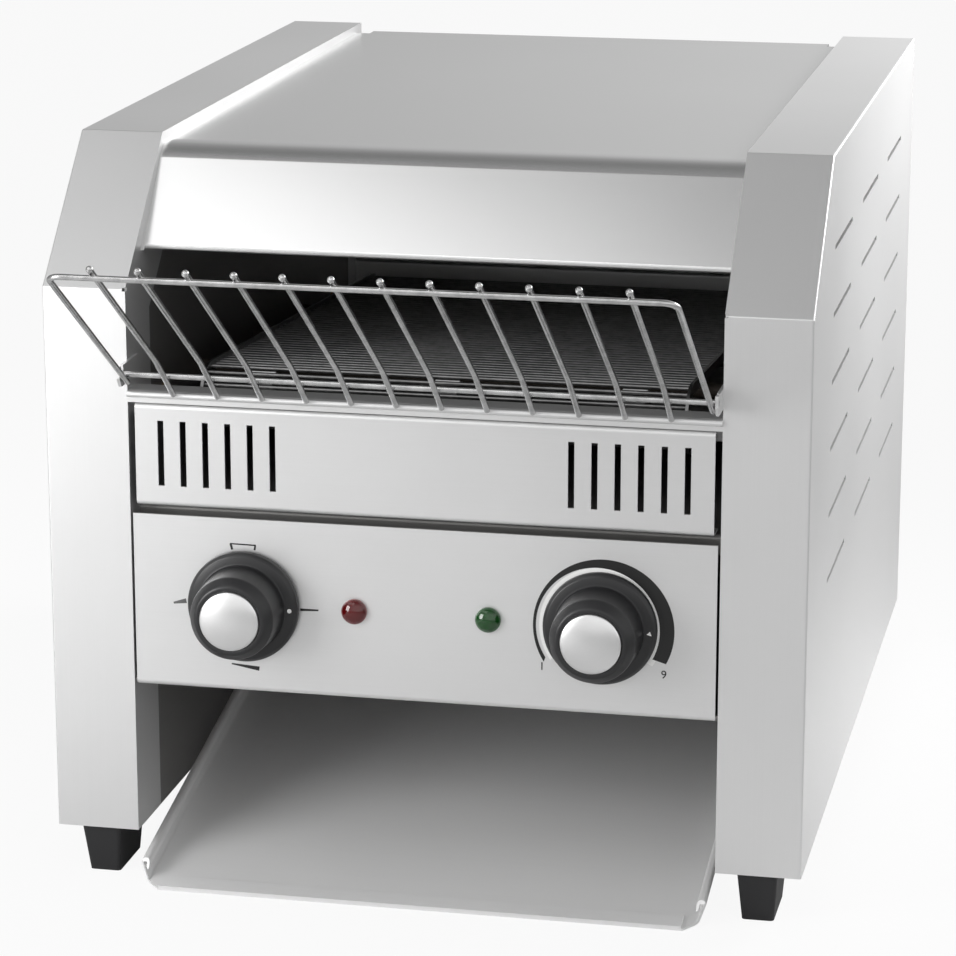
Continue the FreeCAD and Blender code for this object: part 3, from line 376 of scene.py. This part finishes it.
def turned(name, centre, rings, sides=72):
    """A piece turned about a line along Y. Its rings are (place along Y, radius) in order."""
    deselect()
    x, z = centre
    first_y, first_radius = rings[0]
    bpy.ops.mesh.primitive_circle_add(
        vertices=sides, radius=first_radius * MM, fill_type="NGON", location=at(x, first_y, z),
        rotation=(math.radians(90), 0, 0))
    piece = bpy.context.object
    piece.name = name
    bpy.ops.object.transform_apply(location=True, rotation=True, scale=True)
    edit(piece)
    bpy.ops.mesh.select_all(action="SELECT")
    radius = first_radius
    y = first_y
    for next_y, next_radius in rings[1:]:
        step = (0, (next_y - y) * MM, 0)
        bpy.ops.mesh.extrude_region_move(TRANSFORM_OT_translate={"value": step})
        share = next_radius / radius
        bpy.ops.transform.resize(value=(share, 1, share), center_override=at(x, next_y, z))
        radius = next_radius
        y = next_y
    bpy.ops.mesh.select_all(action="SELECT")
    bpy.ops.mesh.normals_make_consistent(inside=False)
    done()
    return piece


def plate_of(name, sides, radius, centre, thickness, turn=0.0):
    """A thin flat piece on the panel's face, with as many sides as asked."""
    deselect()
    bpy.ops.mesh.primitive_cylinder_add(
        vertices=sides, radius=radius * MM, depth=thickness * MM, location=at(*centre),
        rotation=(math.radians(90), math.radians(turn), 0))
    piece = bpy.context.object
    piece.name = name
    bpy.ops.object.transform_apply(location=True, rotation=True, scale=True)
    return piece


def bar_of(name, start, end, width, thickness, level, taper=1.0):
    """A thin flat bar between two places on the panel, seen as a printed stroke."""
    deselect()
    bpy.ops.mesh.primitive_cube_add(size=1.0, location=(0, 0, 0))
    piece = bpy.context.object
    piece.name = name
    run = Vector((end[0] - start[0], 0, end[1] - start[1]))
    bpy.ops.transform.resize(value=(run.length * MM, thickness * MM, width * MM))
    bpy.ops.object.transform_apply(location=True, rotation=True, scale=True)
    edit(piece)
    bpy.ops.mesh.select_all(action="DESELECT")
    done()
    for face in piece.data.polygons:
        face.select = face.normal.x > 0.5
    edit(piece)
    bpy.ops.transform.resize(value=(1, 1, taper), center_override=(run.length * MM / 2, 0, 0))
    bpy.ops.mesh.select_all(action="SELECT")
    bpy.ops.mesh.bevel(offset=width * MM * 0.2, segments=2, affect="EDGES", clamp_overlap=True)
    done()
    piece.rotation_euler = (0, -math.atan2(run.z, run.x), 0)
    piece.location = at((start[0] + end[0]) / 2, level, (start[1] + end[1]) / 2)
    return piece


def joined(name, pieces):
    deselect()
    for piece in pieces:
        piece.select_set(True)
    bpy.context.view_layer.objects.active = pieces[0]
    bpy.ops.object.transform_apply(location=True, rotation=True, scale=True)
    bpy.ops.object.join()
    pieces[0].name = name
    return pieces[0]


# Knobs: skirt, grip and domed cap
KNOB_X = 86.8
KNOB_Z = 144.0
DOT_OUT = 23.6
ARROW_OUT = 24.0
knob_rings = [
    (-0.8, 26.4), (-0.95, 26.9), (-1.3, 27.2), (-4.1, 27.2), (-4.4, 27.05), (-5.55, 25.85),
    (-5.8, 25.4), (-5.8, 22.4), (-6.05, 21.6), (-6.6, 21.15), (-7.4, 21.0), (-22.9, 20.45),
    (-23.7, 20.3), (-24.3, 19.95), (-27.2, 17.5), (-27.75, 16.95), (-28.0, 16.3), (-28.0, 15.1),
    (-27.85, 14.75), (-27.5, 14.6), (-27.0, 14.55),
]
cap_rings = [
    (-27.0, 14.4), (-28.5, 14.45), (-28.85, 14.3), (-29.1, 13.95), (-29.45, 13.0), (-29.95, 11.0),
    (-30.45, 8.5), (-30.85, 6.0), (-31.1, 3.5), (-31.19, 1.2),
]
for side, word in ((-1, "selector"), (1, "speed")):
    centre = (side * KNOB_X, KNOB_Z)
    body = word + "_knob"
    settle(turned(word + "_grip", centre, knob_rings, 96), black_plastic, body, 30,
           [word + "_knob"])
    settle(turned(word + "_cap_dome", centre, cap_rings, 72), cap_steel, body, 40,
           [word + "_cap"])

white_ink = paint("white_ink", (0.80, 0.80, 0.79), 0.5, 1500)
black_ink = paint("black_ink", (0.006, 0.006, 0.006), 0.4, 1500)
grey_ink = paint("grey_ink", (0.09, 0.09, 0.09), 0.5, 1500)
dot_rings = [(-5.75, 1.1), (-5.95, 1.05), (-6.0, 0.8)]
dot = turned("selector_pointer_dot", (-KNOB_X + DOT_OUT, KNOB_Z), dot_rings, 24)
settle(dot, white_ink, "selector_knob")
arrow_centre = (KNOB_X + ARROW_OUT, -5.85, KNOB_Z - 0.3)
arrow = plate_of("speed_pointer_arrow", 3, 1.35, arrow_centre, 0.3, 15)
settle(arrow, white_ink, "speed_knob")

# Printed marks round the knobs
INK = 0.10
marks = [
    bar_of("mark", (-59.3, 143.3), (-50.3, 143.5), 1.3, INK, -INK / 2, 0.6),
    bar_of("mark", (-93.6, 174.2), (-80.8, 174.0), 0.7, INK, -INK / 2),
    bar_of("mark", (-93.3, 174.2), (-92.6, 171.3), 1.1, INK, -INK / 2),
    bar_of("mark", (-81.1, 174.0), (-81.5, 171.6), 0.9, INK, -INK / 2),
    bar_of("mark", (-80.0, 112.3), (-93.8, 114.0), 2.2, INK, -INK / 2, 0.3),
]
settle(joined("selector_scale", marks), black_ink, "body")
settle(bar_of("selector_scale_left", (-115.9, 144.3), (-122.3, 142.9), 2.4, INK, -INK / 2, 0.4),
       grey_ink, "body")

ARC_X = 88.0
ARC_Z = 143.2
ARC_RADIUS = 33.8
ARC_INNER = 29.6
ARC_SHIFT = 2.77
ARC_SIDES = 144
RING_OUTER = 29.8
RING_INNER = 27.3


def arc_band(name, centre, outer, inner, shift, gap_from, gap_to, level):
    """A printed band between two circles, with the part between two directions left out."""
    deselect()
    x, z = centre
    bpy.ops.mesh.primitive_circle_add(
        vertices=ARC_SIDES, radius=outer * MM, fill_type="NOTHING", location=at(x, level, z),
        rotation=(math.radians(90), 0, 0))
    band = bpy.context.object
    band.name = name
    bpy.ops.object.transform_apply(location=True, rotation=True, scale=True)
    edit(band, "EDGE")
    bpy.ops.mesh.select_all(action="SELECT")
    bpy.ops.mesh.extrude_edges_move(TRANSFORM_OT_translate={"value": (0, 0, 0)})
    share = inner / outer
    bpy.ops.transform.resize(value=(share, 1, share), center_override=at(x, level, z))
    bpy.ops.transform.translate(value=(-shift * MM, 0, 0))
    bpy.ops.mesh.select_all(action="DESELECT")
    done()
    for face in band.data.polygons:
        away = face.center - at(x, level, z)
        angle = math.degrees(math.atan2(away.z, away.x)) % 360
        face.select = gap_from < angle < gap_to
    edit(band)
    bpy.ops.mesh.delete(type="FACE")
    bpy.ops.mesh.select_all(action="SELECT")
    bpy.ops.mesh.normals_make_consistent(inside=False)
    bpy.ops.mesh.extrude_region_move(TRANSFORM_OT_translate={"value": (0, INK * MM / 2, 0)})
    bpy.ops.mesh.select_all(action="SELECT")
    bpy.ops.mesh.normals_make_consistent(inside=False)
    done()
    return band


band = arc_band(
    "speed_scale_band", (ARC_X, ARC_Z), ARC_RADIUS, ARC_INNER, ARC_SHIFT, 210, 330, -INK)
settle(band, black_ink, "body")
halo = arc_band(
    "speed_scale_ring", (ARC_X - 1.0, ARC_Z), RING_OUTER, RING_INNER, 0.6, 215, 325, -INK * 0.7)
settle(halo, white_ink, "body")


def numeral(name, text, centre, height):
    """A plain printed numeral."""
    deselect()
    bpy.ops.object.text_add(
        location=at(centre[0], -INK, centre[1]), rotation=(math.radians(90), 0, 0))
    piece = bpy.context.object
    piece.name = name
    piece.data.body = text
    piece.data.size = height * MM
    piece.data.align_x = "CENTER"
    piece.data.align_y = "CENTER"
    piece.data.extrude = INK * MM / 2
    bpy.ops.object.convert(target="MESH")
    return bpy.context.object


settle(numeral("speed_scale_low", "1", (58.6, 122.6), 5.6), black_ink, "body")
settle(numeral("speed_scale_high", "9", (117.0, 122.2), 5.6), black_ink, "body")

# Lamps: a clear coloured dome over the dark holder
LAMP_X = 32.6
LAMP_Z = 144.2
lamp_rings = [
    (0.0, 6.2), (-1.3, 6.24), (-1.75, 6.1), (-2.5, 5.75), (-3.3, 5.0), (-4.0, 4.0), (-4.55, 2.8),
    (-4.85, 1.6), (-4.97, 0.6),
]


def lens_glass(name, colour):
    finish = new_finish(name)
    ripple = finish.noise((420, 420, 420), 2.0)
    finish.set(Base_Color=finish.blend(ripple, colour, tuple(c * 0.75 for c in colour)),
               Roughness=0.03 + ripple * 0.03, Transmission_Weight=0.85, IOR=1.49,
               Coat_Weight=0.6, Normal=finish.bump(ripple, 0.35, 0.0004))
    return finish


red_glass = lens_glass("red_glass", (0.62, 0.004, 0.008))
green_glass = lens_glass("green_glass", (0.01, 0.36, 0.03))
for side, word, glass in ((-1, "left", red_glass), (1, "right", green_glass)):
    lens = turned(word + "_lamp_dome", (side * LAMP_X, LAMP_Z), lamp_rings, 48)
    settle(lens, glass, "body", 50, [word + "_lamp_lens"])

# Feed rack: ball ends on the rods, and the spots where they are welded to the wires
ROD_COUNT = 12
ROD_PITCH = 21.7
TIP = (-124.2, 331.3)
TOP_WIRE = (-121.0, 330.4)
CROSS_WIRE = (-13.4, 256.6)


def balls(name, places, radius, flat, sides):
    pieces = []
    for x, y, z in places:
        deselect()
        bpy.ops.mesh.primitive_uv_sphere_add(
            segments=sides, ring_count=sides // 2, radius=radius * MM, location=at(x, y, z))
        ball = bpy.context.object
        ball.scale = (1.0, flat, 1.0)
        pieces.append(ball)
    return joined(name, pieces)


rod_places = [(place - (ROD_COUNT - 1) / 2) * ROD_PITCH for place in range(ROD_COUNT)]
tips = balls("rack_rod_ends", [(x, *TIP) for x in rod_places], 1.7, 0.95, 16)
settle(tips, rack_wire, "feed_rack", 60)
spots = balls("rack_welds", [(x, *CROSS_WIRE) for x in rod_places], 1.5, 0.8, 10)
settle(spots, rack_wire, "feed_rack", 60)

# Screws of the back panel
SCREW_X = 134.0
SCREW_HEIGHTS = (60.0, 190.0, 325.0)
BACK_FACE_Y = 474.0
RECESS = (3.6, 1.6, 0.9)
RECESS_DEPTH_Y = 1.9
head_profile = [(0.0, 3.4), (0.9, 3.4), (1.5, 3.0), (1.9, 2.1), (2.0, 1.0)]


def screw_head(name, centre):
    """Pan head with a cross recess, facing backwards."""
    rings = [(centre[1] + out, radius) for out, radius in head_profile]
    head = turned(name, (centre[0], centre[2]), rings, 24)
    cuts = []
    for turn in (0, 90):
        bpy.ops.mesh.primitive_cube_add(
            size=1.0, location=at(centre[0], centre[1] + RECESS_DEPTH_Y, centre[2]))
        slot = bpy.context.object
        slot.scale = Vector(RECESS) * MM
        slot.rotation_euler = (0, math.radians(turn), 0)
        cuts.append(slot)
    cross = joined(name + "_cut", cuts)
    cut = head.modifiers.new("cross", "BOOLEAN")
    cut.object = cross
    cut.use_self = True
    bpy.context.view_layer.objects.active = head
    bpy.ops.object.modifier_apply(modifier="cross")
    bpy.data.objects.remove(cross)
    return head


back_screws = []
first = screw_head("back_screw", (SCREW_X, BACK_FACE_Y, SCREW_HEIGHTS[0]))
for x in (-SCREW_X, SCREW_X):
    for z in SCREW_HEIGHTS:
        twin = first.copy()
        twin.data = first.data.copy()
        twin.location = Vector(((x - SCREW_X) * MM, 0, (z - SCREW_HEIGHTS[0]) * MM))
        bpy.context.scene.collection.objects.link(twin)
        back_screws.append(twin)
bpy.data.objects.remove(first)
settle(joined("back_panel_screws", back_screws), rack_wire, "body", 30)
